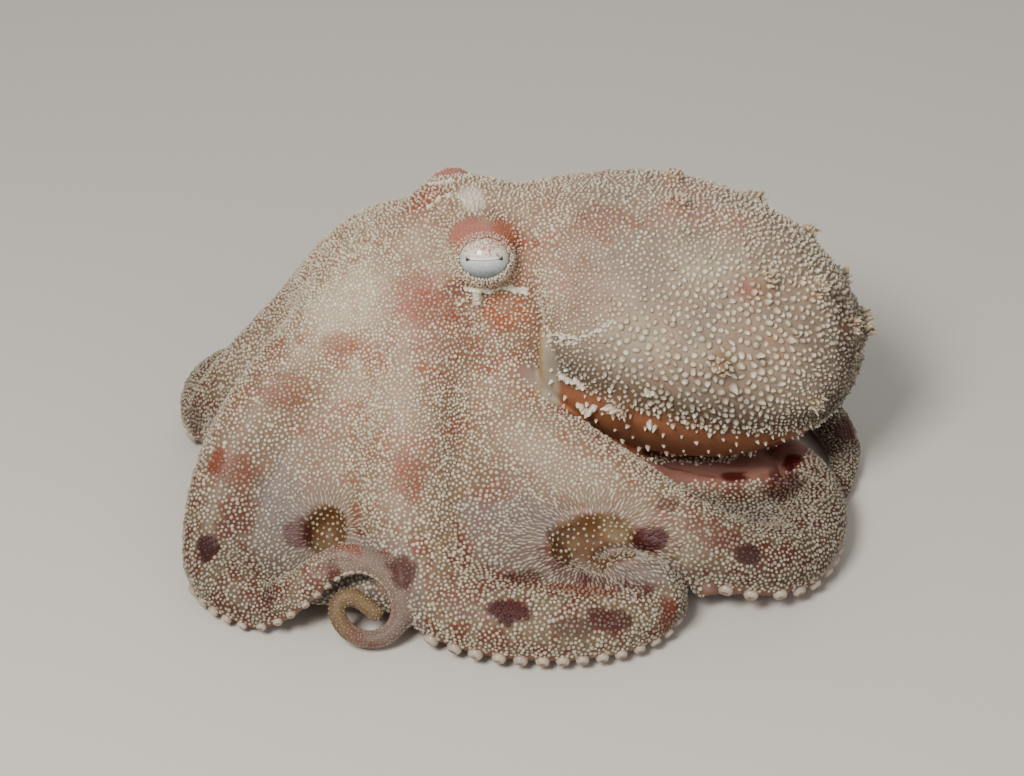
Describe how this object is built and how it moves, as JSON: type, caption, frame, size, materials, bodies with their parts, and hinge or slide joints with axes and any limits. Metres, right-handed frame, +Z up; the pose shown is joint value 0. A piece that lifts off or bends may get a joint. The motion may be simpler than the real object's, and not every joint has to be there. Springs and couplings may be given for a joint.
{
  "type": "octopus",
  "caption": "Small sand octopus at rest, life size: warty sac mantle behind a raised head, webbed arms swept round the body, and an upright curled arm tip.",
  "frame": {"origin": "middle of the bounding box's footprint, on the floor that the arms rest on", "axes": "+X from the head to the mantle's end, -Y the animal's left side, +Z up"},
  "size_m": [0.11, 0.106, 0.0516],
  "materials": {
    "mantle_skin": "moist satin skin, cream papillae over pinkish brown",
    "head_skin": "moist satin skin, cream granules over rusty pink",
    "arm_skin": "moist satin skin, cream nodules with maroon blotches",
    "web_skin": "moist satin skin, cream nodules over lavender pink",
    "siphon_skin": "smooth moist skin",
    "eye": "wet silvery eye with a black slit pupil"
  },
  "bodies": {
    "root": {"eye_left": "eye", "eye_right": "eye", "siphon": "siphon_skin", "head": "head_skin", "mantle": "mantle_skin", "arm_L1_base": "arm_skin", "arm_L2_base": "arm_skin", "arm_L3_base": "arm_skin", "arm_L4_base": "arm_skin", "arm_R4_base": "arm_skin", "arm_R3_base": "arm_skin", "arm_R2_base": "arm_skin", "arm_R1_base": "arm_skin", "arm_L1_mid": "arm_skin", "arm_L2_mid": "arm_skin", "arm_L3_mid": "arm_skin", "arm_L4_mid": "arm_skin", "arm_R4_mid": "arm_skin", "arm_R3_mid": "arm_skin", "arm_R2_mid": "arm_skin", "arm_R1_mid": "arm_skin", "arm_L1_tip": "arm_skin", "arm_L2_tip": "arm_skin", "arm_L3_tip": "arm_skin", "arm_L4_tip": "arm_skin", "arm_R4_tip": "arm_skin", "arm_R3_tip": "arm_skin", "arm_R2_tip": "arm_skin", "arm_R1_tip": "arm_skin", "web_R1_L1": "web_skin", "web_L1_L2": "web_skin", "web_L2_L3": "web_skin", "web_L3_L4": "web_skin", "web_L4_R4": "web_skin", "web_R4_R3": "web_skin", "web_R3_R2": "web_skin", "web_R2_R1": "web_skin"}
  },
  "joints": []
}
